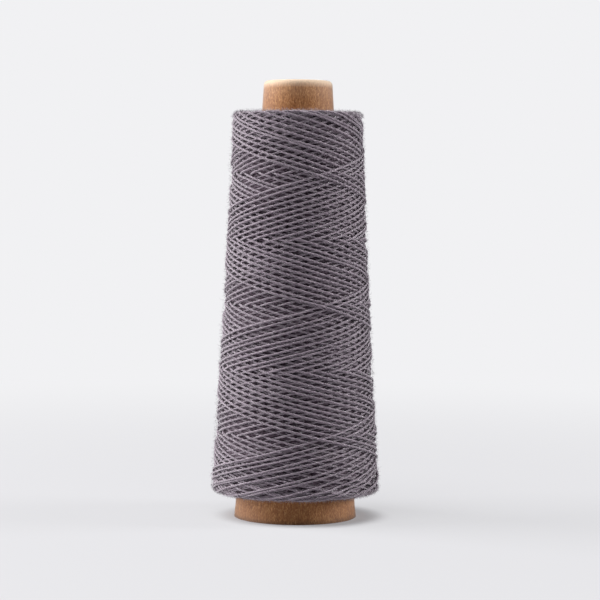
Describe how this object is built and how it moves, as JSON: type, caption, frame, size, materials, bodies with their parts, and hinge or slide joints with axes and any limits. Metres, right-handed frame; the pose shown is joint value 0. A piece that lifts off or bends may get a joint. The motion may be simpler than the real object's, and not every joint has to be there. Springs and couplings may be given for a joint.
{
  "type": "cone of yarn",
  "caption": "Tapered kraft-paper cone, open at both ends with a turned-in nose, cross-wound with thick two-ply grey yarn.",
  "frame": {"origin": "centre of the cone's base rim, on the surface that it stands on", "axes": "+Z along the cone's axis, from the base rim up to the nose; +X and +Y are free, because the cone is round"},
  "size_m": [0.0887, 0.088, 0.23],
  "materials": {
    "kraft_board": "matte, fibrous",
    "kraft_paper": "matte, calendered",
    "yarn": "soft, slightly hairy"
  },
  "bodies": {
    "root": {"cone_body": "kraft_board", "cone_cover_ply": "kraft_paper", "first_turns": "yarn", "inner_windings": "yarn", "outer_windings": "yarn", "last_turns": "yarn"}
  },
  "joints": []
}
